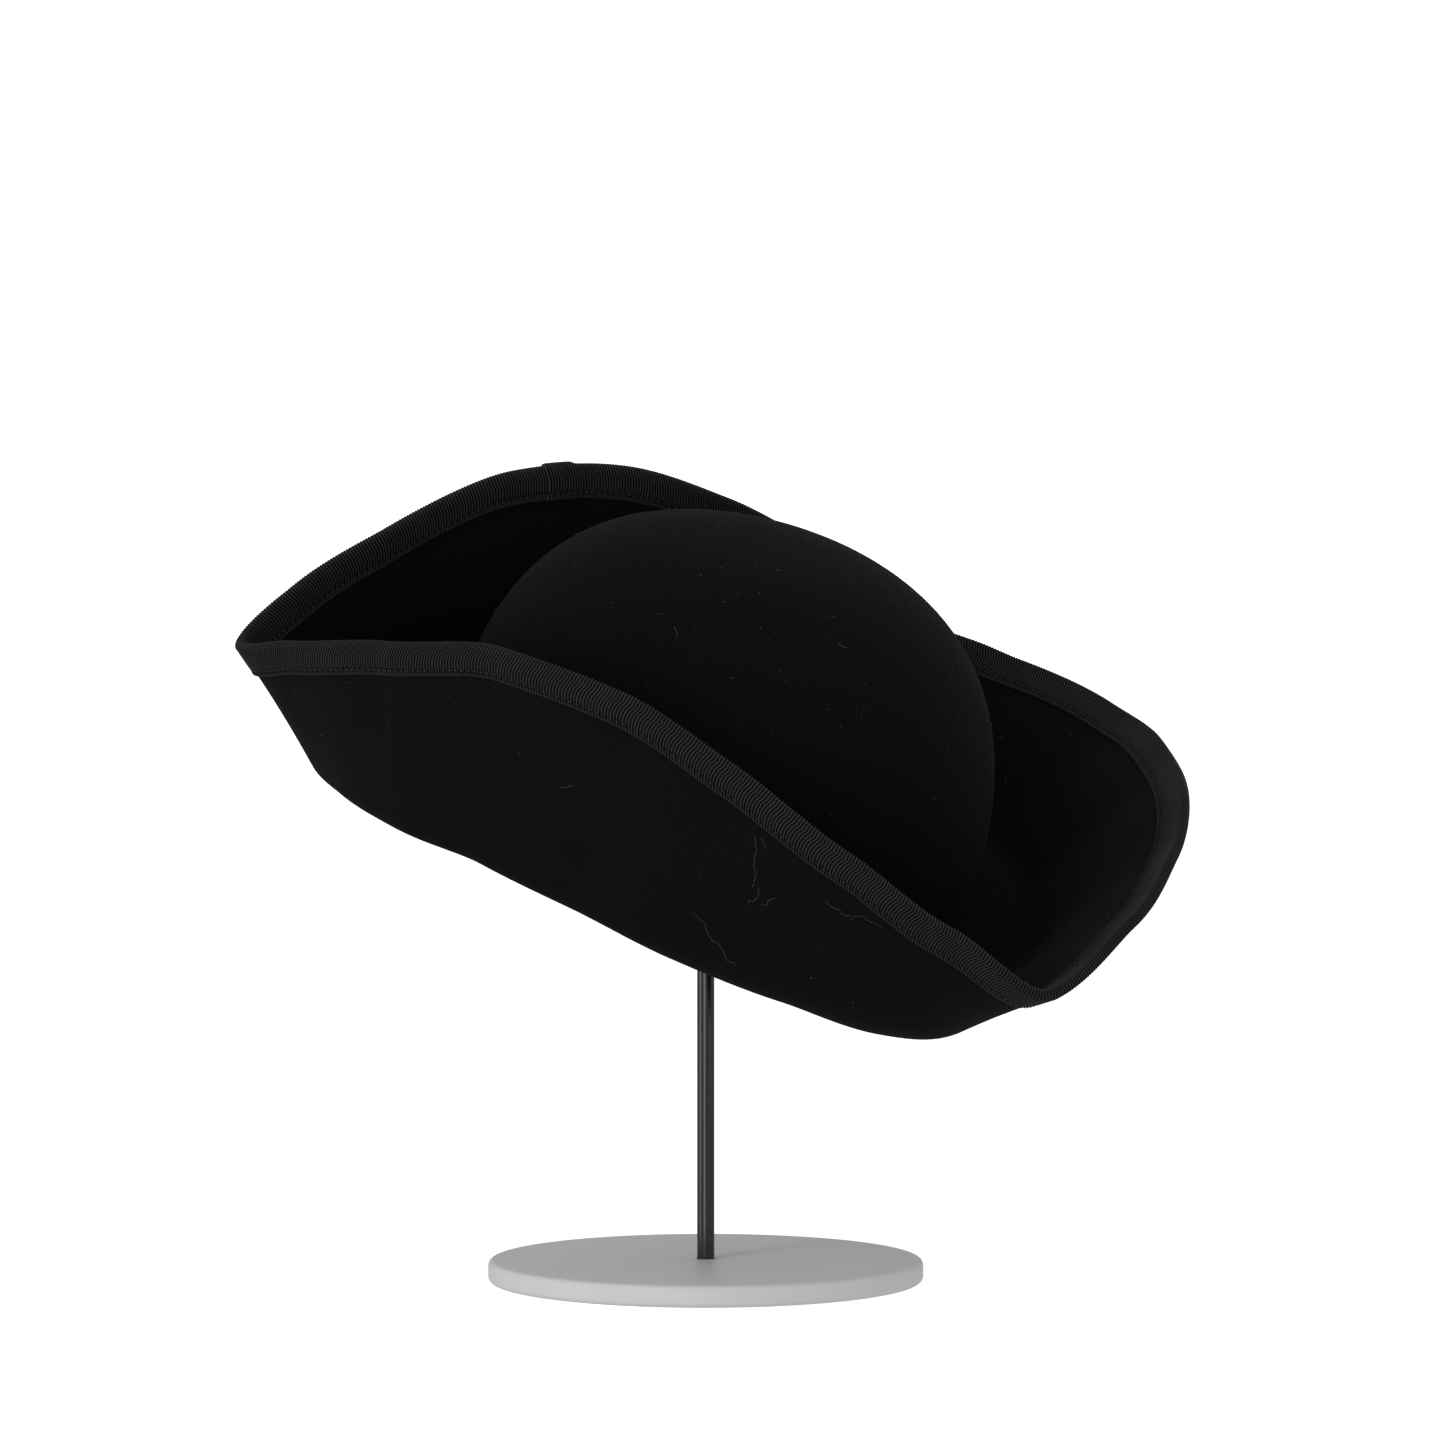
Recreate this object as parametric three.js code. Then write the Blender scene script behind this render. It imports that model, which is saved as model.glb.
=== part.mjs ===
// A black felt tricorn hat, held tilted on a plain rod stand.
// Millimetres, +Z up. The hat's front point is toward -Y and the wearer's left is toward +X.
// The origin is the centre of the stand base's underside.
// The felt is worked out from its middle line. Each side of it lies half a thickness away.

import * as THREE from 'three';

// Felt and crown
const FELT = 2;
const HEAD_LENGTH = 200; // the head opening inside, front to back
const HEAD_BREADTH = 158; // the head opening inside, side to side
const CROWN_HEIGHT = 118; // from the brim's underside beside the crown to the crown's top
const CROWN_FULLNESS = 2.7; // exponent of the crown's side view: 2 is an ellipse, and more is squarer
const CROWN_FORWARD = 6; // how far the crown's top lies ahead of the opening's centre
const CROWN_FORWARD_POWER = 1.5; // how late on its way up the crown comes forward
const BREAK_RADIUS = 3; // of the fold between crown and brim

// Brim
const BRIM_WIDTH = 103; // along the felt, from the crown to the edge
const FALL_ENDS = 15; // degrees that the brim falls before its bend, at front and back
const FALL_SIDES = 28; // the same at the sides
const EDGE_ROLL = 11; // degrees per brim width that it leans outward again past the start of its bend
const BACK_TURN = 2.6; // degrees by which the back of the brim is turned toward the wearer's left

// Sections of the brim, from the front point round to the middle of the back.
// at: degrees round from the front. turn: where the upward bend starts, as a share of the brim's width.
// bend: length of the bend, as a share of the brim's width. rise: degrees above level that it turns up to.
const BRIM_SECTIONS = [
  { at: 0, turn: 0.34, bend: 0.15, rise: 53 },
  { at: 8, turn: 0.28, bend: 0.14, rise: 66 },
  { at: 20, turn: 0.17, bend: 0.13, rise: 79 },
  { at: 40, turn: 0.03, bend: 0.11, rise: 84 },
  { at: 62, turn: 0.00, bend: 0.13, rise: 87 },
  { at: 84, turn: 0.02, bend: 0.25, rise: 90 },
  { at: 104, turn: 0.06, bend: 0.38, rise: 85 },
  { at: 120, turn: 0.15, bend: 0.44, rise: 79 },
  { at: 133, turn: 0.21, bend: 0.31, rise: 53 },
  { at: 148, turn: 0.21, bend: 0.14, rise: 57 },
  { at: 165, turn: 0.22, bend: 0.12, rise: 64 },
  { at: 180, turn: 0.18, bend: 0.15, rise: 65 },
];

// The rows that differ on the wearer's right, where the back corner is softer.
const RIGHT_SECTIONS = [
  { at: 104, turn: 0.09, bend: 0.40, rise: 86 },
  { at: 120, turn: 0.20, bend: 0.47, rise: 80 },
  { at: 133, turn: 0.21, bend: 0.29, rise: 54 },
  { at: 148, turn: 0.22, bend: 0.15, rise: 51 },
  { at: 165, turn: 0.22, bend: 0.12, rise: 62 },
];

// Edge binding
const RIBBON = 0.8; // thickness
const BINDING_WIDTH = 13.3; // on each face, from the folded edge
const CLEARANCE = 0.3; // between neighbouring pieces

// How the hat sits on the stand
const LEAN = 31; // degrees that the hat tips over
const LEAN_TOWARD = 24; // the way it tips, in degrees from the wearer's left toward the back
const HAT_X = -10; // the centre of the head opening
const HAT_Y = 1;
const HAT_Z = 165;

// Stand
const BASE_DIAMETER = 160;
const BASE_THICKNESS = 8;
const BASE_EDGE = 2; // radius of the disc's rounded edge
const ROD_DIAMETER = 6.4;
const SOCKET_DEPTH = 5;
const REST_DIAMETER = 56;
const REST_CURVE = 52; // radius of the rest's domed top
const REST_RIM = 9; // height of the rest's side
const REST_EDGE = 2; // radius of the rest's lower edge

// Fineness of the meshes
const STATIONS = 84; // round the hat
const CORNER_CROWDING = 0.45; // how much closer together the stations lie at the three corners
const CROWN_RINGS = 9;
const BREAK_RINGS = 3;
const BRIM_RINGS = 10;
const BEND_CROWDING = 0.8; // how much closer together the rings lie in the bend
const LINE_STEPS = 80; // steps in which a brim section's slope is summed up
const TURNED_SIDES = 36; // round the stand's discs
const ROD_SIDES = 24;
const EDGE_STEPS = 3; // in a rounded edge

const radians = THREE.MathUtils.degToRad;

// Value of one column of the section tables at an azimuth in degrees. The curve doesn't overshoot its rows.
function sectionValue(column, azimuth) {
  const turned = azimuth + (BACK_TURN * (1 - Math.cos(radians(azimuth)))) / 2;
  const around = ((turned + 540) % 360) - 180;
  const at = Math.abs(around);
  const differing = around < 0 ? RIGHT_SECTIONS : [];
  const rows = BRIM_SECTIONS.map((row) => differing.find((other) => other.at === row.at) || row);
  const last = rows.length - 1;
  const slope = (i) => (rows[i + 1][column] - rows[i][column]) / (rows[i + 1].at - rows[i].at);
  const tangent = (i) => {
    if (i === 0 || i === last) return 0;
    const before = slope(i - 1);
    const after = slope(i);
    return before * after > 0 ? (2 * before * after) / (before + after) : 0;
  };
  let i = 0;
  while (i < last - 1 && at > rows[i + 1].at) i += 1;
  const span = rows[i + 1].at - rows[i].at;
  const u = (at - rows[i].at) / span;
  return (
    rows[i][column] * (1 + 2 * u) * (1 - u) ** 2 +
    tangent(i) * span * u * (1 - u) ** 2 +
    rows[i + 1][column] * u * u * (3 - 2 * u) -
    tangent(i + 1) * span * u * u * (1 - u)
  );
}

// The felt's middle line on the head oval at an azimuth, and the level direction straight out from it.
function headOval(azimuth) {
  const t = radians(azimuth);
  const long = (HEAD_LENGTH + FELT) / 2;
  const broad = (HEAD_BREADTH + FELT) / 2;
  return {
    point: new THREE.Vector3(broad * Math.sin(t), -long * Math.cos(t), FELT / 2),
    out: new THREE.Vector3(long * Math.sin(t), -broad * Math.cos(t), 0).normalize(),
  };
}

// Height of the crown's middle line above the oval.
const CROWN_RISE = CROWN_HEIGHT - FELT;

// A point of the crown's middle surface. turn is 90 degrees at the top and 0 at the head oval.
function crownPoint(azimuth, turn) {
  const narrowing = Math.max(Math.cos(radians(turn)), 0) ** (2 / CROWN_FULLNESS);
  const rise = Math.sin(radians(turn)) ** (2 / CROWN_FULLNESS);
  const { point } = headOval(azimuth);
  return new THREE.Vector3(
    point.x * narrowing,
    point.y * narrowing - CROWN_FORWARD * rise ** CROWN_FORWARD_POWER,
    point.z + CROWN_RISE * rise,
  );
}

// Slope of the brim before its bend, in degrees.
function brimFall(azimuth) {
  return -THREE.MathUtils.lerp(FALL_ENDS, FALL_SIDES, Math.sin(radians(azimuth)) ** 2);
}

// The brim's middle line at an azimuth: how far out and up it has come at each step along the felt.
// measure grows with the length and with the bending, and spaces the rings.
function brimLine(azimuth) {
  const fall = brimFall(azimuth);
  const rise = sectionValue('rise', azimuth);
  const turn = sectionValue('turn', azimuth) * BRIM_WIDTH;
  const bend = sectionValue('bend', azimuth) * BRIM_WIDTH;
  const rollAt = (along) => (EDGE_ROLL * Math.max(along - turn, 0)) / BRIM_WIDTH;
  const slopeAt = (along) =>
    THREE.MathUtils.lerp(fall, rise, THREE.MathUtils.smoothstep(along, turn, turn + bend)) - rollAt(along);
  const step = BRIM_WIDTH / LINE_STEPS;
  const line = [{ along: 0, out: 0, up: 0, measure: 0 }];
  for (let i = 0; i < LINE_STEPS; i += 1) {
    const slope = slopeAt((i + 0.5) * step);
    const bent = slopeAt((i + 1) * step) - slopeAt(i * step);
    const before = line[i];
    line.push({
      along: before.along + step,
      out: before.out + step * Math.cos(radians(slope)),
      up: before.up + step * Math.sin(radians(slope)),
      measure: before.measure + 1 / LINE_STEPS + (BEND_CROWDING * bent) / (rise - fall),
    });
  }
  return line;
}

// A point of the brim's middle surface, where one of the line's columns reaches a value.
function brimPoint(azimuth, line, column, value) {
  let i = 0;
  while (i < line.length - 2 && value > line[i + 1][column]) i += 1;
  const share = (value - line[i][column]) / (line[i + 1][column] - line[i][column]);
  const { point, out } = headOval(azimuth);
  return point
    .clone()
    .addScaledVector(out, THREE.MathUtils.lerp(line[i].out, line[i + 1].out, share))
    .setZ(point.z + THREE.MathUtils.lerp(line[i].up, line[i + 1].up, share));
}

// Where the binding starts along the brim's felt.
const BINDING_START = BRIM_WIDTH + CLEARANCE + RIBBON - BINDING_WIDTH;

// The rounded fold between crown and brim at an azimuth: an arc that touches both.
function breakArc(azimuth) {
  const turned = radians(90 + brimFall(azimuth));
  const reach = BREAK_RADIUS * Math.tan(turned / 2);
  const { point, out } = headOval(azimuth);
  const points = [];
  for (let k = 0; k <= BREAK_RINGS; k += 1) {
    const angle = (turned * k) / BREAK_RINGS;
    points.push(
      point
        .clone()
        .addScaledVector(out, BREAK_RADIUS * (1 - Math.cos(angle)))
        .setZ(point.z + reach - BREAK_RADIUS * Math.sin(angle)),
    );
  }
  return { reach, points };
}

// The felt's middle surface at one station, from just below the crown's top to the brim's edge.
function feltSection(azimuth) {
  const { reach, points } = breakArc(azimuth);
  const lowest = THREE.MathUtils.radToDeg(Math.asin((reach / CROWN_RISE) ** (CROWN_FULLNESS / 2)));
  const section = [];
  for (let k = 1; k < CROWN_RINGS; k += 1) {
    section.push(crownPoint(azimuth, THREE.MathUtils.lerp(90, lowest, k / CROWN_RINGS)));
  }
  section.push(...points);
  const line = brimLine(azimuth);
  const first = line.find((step) => step.along > reach).measure;
  const last = line.find((step) => step.along > BINDING_START).measure;
  for (let k = 1; k < BRIM_RINGS; k += 1) {
    section.push(brimPoint(azimuth, line, 'measure', THREE.MathUtils.lerp(first, last, k / BRIM_RINGS)));
  }
  section.push(brimPoint(azimuth, line, 'along', BINDING_START));
  section.push(brimPoint(azimuth, line, 'along', BRIM_WIDTH));
  return section;
}

// Azimuths of the stations, closer together toward the three corners.
const AZIMUTHS = Array.from({ length: STATIONS }, (_, i) => {
  const even = (2 * Math.PI * i) / STATIONS;
  return THREE.MathUtils.radToDeg(even - (CORNER_CROWDING * Math.sin(3 * even)) / 3);
});

// Normals of a surface given as stations of points, toward the crown's outside and the brim's upper face.
// before is the point that comes ahead of each station's first point, if there is one.
function surfaceNormals(stations, before) {
  return stations.map((station, j) =>
    station.map((point, k) => {
      const next = stations[(j + 1) % stations.length][k];
      const previous = stations[(j + stations.length - 1) % stations.length][k];
      const inner = k > 0 ? station[k - 1] : before || point;
      const outer = station[k + 1] || point;
      const round = next.clone().sub(previous);
      return round.cross(outer.clone().sub(inner)).negate().normalize();
    }),
  );
}

// A closed body from stations round the hat, each a list of as many points. Each patch between four points
// is split along its shorter diagonal, so that bodies which lie against each other fold alike.
// With poles the lists run from the first pole to the second. Without, each list closes on itself.
function sweptBody(stations, poles) {
  const count = stations[0].length;
  const corner = (j, k) => (j % stations.length) * count + (k % count);
  const place = (j, k) => stations[j % stations.length][k % count];
  const faces = [];
  stations.forEach((_, j) => {
    for (let k = 0; k < (poles ? count - 1 : count); k += 1) {
      const forward = place(j, k).distanceTo(place(j + 1, k + 1));
      const backward = place(j, k + 1).distanceTo(place(j + 1, k));
      if (forward < backward) {
        faces.push(corner(j, k), corner(j, k + 1), corner(j + 1, k + 1));
        faces.push(corner(j, k), corner(j + 1, k + 1), corner(j + 1, k));
      } else {
        faces.push(corner(j, k), corner(j, k + 1), corner(j + 1, k));
        faces.push(corner(j, k + 1), corner(j + 1, k + 1), corner(j + 1, k));
      }
    }
    if (poles) {
      const first = stations.length * count;
      faces.push(first, corner(j, 0), corner(j + 1, 0));
      faces.push(first + 1, corner(j + 1, count - 1), corner(j, count - 1));
    }
  });
  const geometry = new THREE.BufferGeometry().setFromPoints([...stations.flat(), ...(poles || [])]);
  geometry.setIndex(faces);
  geometry.computeVertexNormals();
  return geometry;
}

// The crown and brim: one shell of felt.
function feltBody() {
  const top = crownPoint(0, 90);
  const middle = AZIMUTHS.map(feltSection);
  const normals = surfaceNormals(middle, top);
  const moved = (j, point, k, side) => point.clone().addScaledVector(normals[j][k], (side * FELT) / 2);
  const face = (j, side) => middle[j].map((point, k) => moved(j, point, k, side));
  const stations = middle.map((_, j) => [...face(j, 1), ...face(j, -1).reverse()]);
  const up = new THREE.Vector3(0, 0, FELT / 2);
  return sweptBody(stations, [top.clone().add(up), top.clone().sub(up)]);
}

// The ribbon folded over the edge: a channel in cross-section, right round the brim.
function edgeBinding() {
  const inside = FELT / 2 + CLEARANCE;
  const outside = inside + RIBBON;
  const middle = AZIMUTHS.map((azimuth) => {
    const line = brimLine(azimuth);
    return [brimPoint(azimuth, line, 'along', BINDING_START), brimPoint(azimuth, line, 'along', BRIM_WIDTH)];
  });
  const normals = surfaceNormals(middle);
  const stations = middle.map(([start, end], j) => {
    const outward = end.clone().sub(start).normalize();
    const place = (point, k, side, beyond) =>
      point.clone().addScaledVector(normals[j][k], side).addScaledVector(outward, beyond);
    return [
      place(start, 0, outside, 0),
      place(end, 1, outside, 0),
      place(end, 1, inside, CLEARANCE + RIBBON * 0.7),
      place(end, 1, 0, CLEARANCE + RIBBON),
      place(end, 1, -inside, CLEARANCE + RIBBON * 0.7),
      place(end, 1, -outside, 0),
      place(start, 0, -outside, 0),
      place(start, 0, -inside, 0),
      place(end, 1, -inside, CLEARANCE),
      place(end, 1, inside, CLEARANCE),
      place(start, 0, inside, 0),
    ];
  });
  return sweptBody(stations);
}

// Points of a rounded corner of a turned profile, from one direction to another in degrees.
function roundedEdge(centreRadius, centreHeight, radius, from, to) {
  return Array.from({ length: EDGE_STEPS + 1 }, (_, i) => {
    const angle = radians(THREE.MathUtils.lerp(from, to, i / EDGE_STEPS));
    const outward = new THREE.Vector2(Math.cos(angle), Math.sin(angle));
    return outward.multiplyScalar(radius).add(new THREE.Vector2(centreRadius, centreHeight));
  });
}

// A turned body from its profile, with the axis upright.
function turnedBody(profile, sides) {
  return new THREE.LatheGeometry(profile, sides).rotateX(Math.PI / 2);
}

const SOCKET_RADIUS = ROD_DIAMETER / 2 + CLEARANCE;

// The disc that the stand stands on, with a socket for the rod in its top.
function standBase() {
  const edge = BASE_DIAMETER / 2 - BASE_EDGE;
  return turnedBody(
    [
      new THREE.Vector2(0, 0),
      ...roundedEdge(edge, BASE_EDGE, BASE_EDGE, -90, 0),
      ...roundedEdge(edge, BASE_THICKNESS - BASE_EDGE, BASE_EDGE, 0, 90),
      new THREE.Vector2(SOCKET_RADIUS, BASE_THICKNESS),
      new THREE.Vector2(SOCKET_RADIUS, BASE_THICKNESS - SOCKET_DEPTH),
      new THREE.Vector2(0, BASE_THICKNESS - SOCKET_DEPTH),
    ],
    TURNED_SIDES,
  );
}

// Height of the rest's domed top above its underside, at a distance from its axis.
function restHeight(distance) {
  const fall = (reach) => REST_CURVE - Math.sqrt(REST_CURVE ** 2 - reach ** 2);
  return REST_RIM + fall(REST_DIAMETER / 2) - fall(distance);
}

// The domed rest that carries the crown, with a socket for the rod in its underside.
function standRest() {
  const radius = REST_DIAMETER / 2;
  const domed = Array.from({ length: EDGE_STEPS * 2 }, (_, i) => {
    const distance = radius * (1 - (i + 1) / (EDGE_STEPS * 2));
    return new THREE.Vector2(distance, restHeight(distance));
  });
  return turnedBody(
    [
      new THREE.Vector2(0, SOCKET_DEPTH),
      new THREE.Vector2(SOCKET_RADIUS, SOCKET_DEPTH),
      new THREE.Vector2(SOCKET_RADIUS, 0),
      ...roundedEdge(radius - REST_EDGE, REST_EDGE, REST_EDGE, -90, 0),
      new THREE.Vector2(radius, REST_RIM),
      ...domed,
    ],
    TURNED_SIDES,
  );
}

// Height of the rest's underside at which its top comes up to the clearance below the crown.
function seatHeight(crown) {
  const up = new THREE.Vector3(0, 0, 1);
  let lowest = Infinity;
  for (let ring = 0; ring <= EDGE_STEPS * 2; ring += 1) {
    const distance = (ring * REST_DIAMETER) / 2 / (EDGE_STEPS * 2);
    for (let side = 0; side < TURNED_SIDES; side += 1) {
      const angle = (2 * Math.PI * side) / TURNED_SIDES;
      const from = new THREE.Vector3(distance * Math.cos(angle), distance * Math.sin(angle), BASE_THICKNESS);
      const hit = new THREE.Raycaster(from, up).intersectObject(crown)[0];
      if (hit) lowest = Math.min(lowest, hit.point.z - restHeight(distance));
    }
  }
  return lowest - CLEARANCE;
}

// The rod, from the base's socket up into the rest's.
function standRod(seat) {
  const foot = BASE_THICKNESS - SOCKET_DEPTH + CLEARANCE;
  const head = seat + SOCKET_DEPTH - CLEARANCE;
  const rod = new THREE.CylinderGeometry(ROD_DIAMETER / 2, ROD_DIAMETER / 2, head - foot, ROD_SIDES);
  return rod.rotateX(Math.PI / 2).translate(0, 0, (foot + head) / 2);
}

function named(name, geometry, look) {
  const mesh = new THREE.Mesh(geometry, new THREE.MeshStandardMaterial(look));
  mesh.name = name;
  return mesh;
}

const hat = new THREE.Group();
const felt = named('felt_body', feltBody(), { color: 0x0d0e0f, roughness: 0.95, metalness: 0 });
hat.add(felt);
hat.add(named('edge_binding', edgeBinding(), { color: 0x1a1b1c, roughness: 0.75, metalness: 0 }));

// The hat is turned to face the way it tips, tipped, and turned back.
hat.rotation.z = radians(-LEAN_TOWARD);
const tipped = new THREE.Group();
tipped.rotation.y = radians(LEAN);
tipped.add(hat);
const placed = new THREE.Group();
placed.rotation.z = radians(LEAN_TOWARD);
placed.position.set(HAT_X, HAT_Y, HAT_Z);
placed.add(tipped);

const part = new THREE.Group();
part.add(placed);
part.updateMatrixWorld(true);

const seat = seatHeight(felt);
const rest = named('stand_rest', standRest(), { color: 0xdcdcda, roughness: 0.5, metalness: 0 });
rest.position.z = seat;
part.add(rest);
part.add(named('stand_rod', standRod(seat), { color: 0x3c3e40, roughness: 0.35, metalness: 0.9 }));
part.add(named('stand_base', standBase(), { color: 0xe4e4e2, roughness: 0.5, metalness: 0 }));

export default part;
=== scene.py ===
# Looks of a black felt tricorn hat, held tilted on a plain rod stand.
# Metres, +Z up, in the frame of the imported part: the hat's front point is toward -Y,
# the wearer's left is toward +X, and the origin is the centre of the stand base's underside.

import math

import bpy
import numpy as np
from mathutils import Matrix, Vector


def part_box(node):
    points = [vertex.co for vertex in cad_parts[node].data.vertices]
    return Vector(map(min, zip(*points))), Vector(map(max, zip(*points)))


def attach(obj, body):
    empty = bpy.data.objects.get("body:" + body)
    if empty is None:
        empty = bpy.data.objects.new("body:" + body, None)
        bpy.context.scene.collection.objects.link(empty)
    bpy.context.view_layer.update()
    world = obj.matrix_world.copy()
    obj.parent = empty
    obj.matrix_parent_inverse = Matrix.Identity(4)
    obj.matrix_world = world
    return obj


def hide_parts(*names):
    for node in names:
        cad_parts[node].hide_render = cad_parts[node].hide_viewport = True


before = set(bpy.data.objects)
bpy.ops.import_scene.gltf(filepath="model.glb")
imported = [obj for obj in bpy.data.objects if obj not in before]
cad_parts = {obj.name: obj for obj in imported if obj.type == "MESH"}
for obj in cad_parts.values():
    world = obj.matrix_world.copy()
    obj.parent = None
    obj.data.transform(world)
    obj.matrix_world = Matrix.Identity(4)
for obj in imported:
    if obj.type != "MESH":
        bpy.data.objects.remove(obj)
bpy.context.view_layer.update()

MM = 0.001

# Felt and crown
FELT = 2 * MM
HEAD_LENGTH = 200 * MM
HEAD_BREADTH = 158 * MM
CROWN_HEIGHT = 118 * MM
CROWN_FULLNESS = 2.7  # exponent of the crown's side view: 2 is an ellipse, and more is squarer
CROWN_FORWARD = 6 * MM
CROWN_FORWARD_POWER = 1.5
BREAK_RADIUS = 3 * MM  # of the fold between crown and brim
EDGE_ROUNDING = 0.12 * MM  # how far the felt's edge stands out in its middle

# Brim
BRIM_WIDTH = 103 * MM
FALL_ENDS = 15  # degrees that the brim falls before its bend, at front and back
FALL_SIDES = 28  # the same at the sides
EDGE_ROLL = 11  # degrees per brim width that it leans outward again past the start of its bend
BACK_TURN = 2.6  # degrees by which the back of the brim is turned toward the wearer's left

# Sections of the brim, from the front point round to the middle of the back.
# at: degrees round from the front. turn: where the upward bend starts, as a share of the brim's width.
# bend: length of the bend, as a share of the brim's width. rise: degrees above level that it turns up to.
BRIM_SECTIONS = [
    {"at": 0, "turn": 0.34, "bend": 0.15, "rise": 53},
    {"at": 8, "turn": 0.28, "bend": 0.14, "rise": 66},
    {"at": 20, "turn": 0.17, "bend": 0.13, "rise": 79},
    {"at": 40, "turn": 0.03, "bend": 0.11, "rise": 84},
    {"at": 62, "turn": 0.00, "bend": 0.13, "rise": 87},
    {"at": 84, "turn": 0.02, "bend": 0.25, "rise": 90},
    {"at": 104, "turn": 0.06, "bend": 0.38, "rise": 85},
    {"at": 120, "turn": 0.15, "bend": 0.44, "rise": 79},
    {"at": 133, "turn": 0.21, "bend": 0.31, "rise": 53},
    {"at": 148, "turn": 0.21, "bend": 0.14, "rise": 57},
    {"at": 165, "turn": 0.22, "bend": 0.12, "rise": 64},
    {"at": 180, "turn": 0.18, "bend": 0.15, "rise": 65},
]

# The rows that differ on the wearer's right, where the back corner is softer.
RIGHT_SECTIONS = [
    {"at": 104, "turn": 0.09, "bend": 0.40, "rise": 86},
    {"at": 120, "turn": 0.20, "bend": 0.47, "rise": 80},
    {"at": 133, "turn": 0.21, "bend": 0.29, "rise": 54},
    {"at": 148, "turn": 0.22, "bend": 0.15, "rise": 51},
    {"at": 165, "turn": 0.22, "bend": 0.12, "rise": 62},
]

# Edge binding
RIBBON = 0.8 * MM  # thickness
BINDING_WIDTH = 13.3 * MM  # on each face, from the folded edge
CLEARANCE = 0.3 * MM
RIB_PITCH = 1.18 * MM
RIB_DEPTH = 0.45 * MM  # from a rib's crest to the groove beside it
RIB_STATIONS = 4  # across one rib
RIB_BOW = 2.3 * MM  # how far a rib's end at the fold lies ahead of the rib's hindmost place
RIB_BACK = 0.4  # where that place is, as a share of the ribbon's width from its inner edge
SELVEDGE = 0.12 * MM  # how far the ribbon's thick outermost thread stands above the ribs
SEAM = 2.7 * MM  # from the ribbon's inner edge to the row of stitches
SEAM_WIDTH = 0.7 * MM
SEAM_DEPTH = 0.3 * MM
SEAM_WANDER = 0.35 * MM
INNER_EDGE_DROP = 0.3 * MM  # how far the ribbon's surface sinks at its inner edge
INNER_EDGE_WANDER = 0.25 * MM
CREST_SHARPNESS = 3.4  # exponent that narrows the painted highlight on a rib's crest
SELVEDGE_SHARE = 0.06  # share of the ribbon's width that its outermost thread takes
INNER_EDGE_SHARE = 0.02
BOW_VARIATION = 0.3
STITCH_PITCH = 2.6 * MM
STITCH_LENGTH = 1.9 * MM
THREAD = 0.36 * MM  # thickness
LAP_AT = -48  # azimuth of the end of the ribbon that lies on top
LAP_LENGTH = 14 * MM
LAP_STEP = 0.9 * MM

# Hand shaping
WAVER_RISE = 0.1  # degrees by which the turned-up brim leans in and out
CROWN_WAVER = 0.35 * MM

# How the hat sits on the stand
LEAN = 31  # degrees that the hat tips over
LEAN_TOWARD = 24  # the way it tips, in degrees from the wearer's left toward the back
HAT_CENTRE = (-10 * MM, 1 * MM, 165 * MM)

# Stand
BASE_EDGE = 2 * MM
SOCKET_DEPTH = 5 * MM
SOCKET_LIP = 0.4 * MM  # radius of the rounded rim of the base's socket
ROD_CHAMFER = 0.5 * MM
REST_EDGE = 2 * MM
REST_CURVE = 52 * MM  # radius of the rest's domed top
REST_RIM = 9 * MM  # height of the rest's side
AXIS_RADIUS = 0.001 * MM  # of the small face that closes a turned body on its axis

# Fineness of the meshes
STATIONS = 320
CROWN_RINGS = 34
BREAK_RINGS = 6
BRIM_RINGS = 44
LINE_STEPS = 240
TURNED_SIDES = 128
EDGE_STEPS = 8
DOME_STEPS = 24
CORNER_CROWDING = 0.4  # how much closer together the stations lie at the three corners
BEND_CROWDING = 0.01  # a degree of bend gets as many rings as this share of the brim's width
RING_SAMPLES = 200  # places along the brim from which the rings' spacing is worked out
FRAME_TURN = 0.2  # degrees to each side of a point, for the direction round the brim
FRAME_STEP = 0.3 * MM  # to each side of a point, for the direction outward
EDGE_PLACES = 4001  # places round the brim's edge between which its length is measured
FACE_SHARES = (0.0, 0.04, 0.09, 0.17, 0.24, 0.31, 0.48, 0.72, 1.0)  # from the ribbon's inner edge to its fold
FOLD_ANGLES = (45, 0, -45)
STITCH_PLACES = 5  # along one stitch
THREAD_SIDES = 6
FIBRE_SIDES = 4
SHARP_ANGLE = 32  # degrees, over which the stand's edges are shaded sharp

# Seeds of the irregular forms
BRIM_SEED = 3
LINT_SEED = 5
CROWN_SEED = 7
BOW_SEED = 11
INNER_EDGE_SEED = 19
SEAM_SEED = 31


def smooth(share):
    share = np.clip(share, 0.0, 1.0)
    return share * share * (3 - 2 * share)


def row_value(rows, column, at):
    """One column of a section table, on a curve that doesn't overshoot its rows."""
    knots = np.array([row["at"] for row in rows], float)
    values = np.array([row[column] for row in rows], float)
    slopes = np.diff(values) / np.diff(knots)
    before, after = slopes[:-1], slopes[1:]
    tangents = np.zeros(len(knots))
    same_way = before * after > 0
    tangents[1:-1][same_way] = 2 * (before * after)[same_way] / (before + after)[same_way]
    i = np.clip(np.searchsorted(knots, at, side="right") - 1, 0, len(knots) - 2)
    span = knots[i + 1] - knots[i]
    u = (at - knots[i]) / span
    return (
        values[i] * (1 + 2 * u) * (1 - u) ** 2
        + tangents[i] * span * u * (1 - u) ** 2
        + values[i + 1] * u * u * (3 - 2 * u)
        - tangents[i + 1] * span * u * u * (1 - u)
    )


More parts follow.
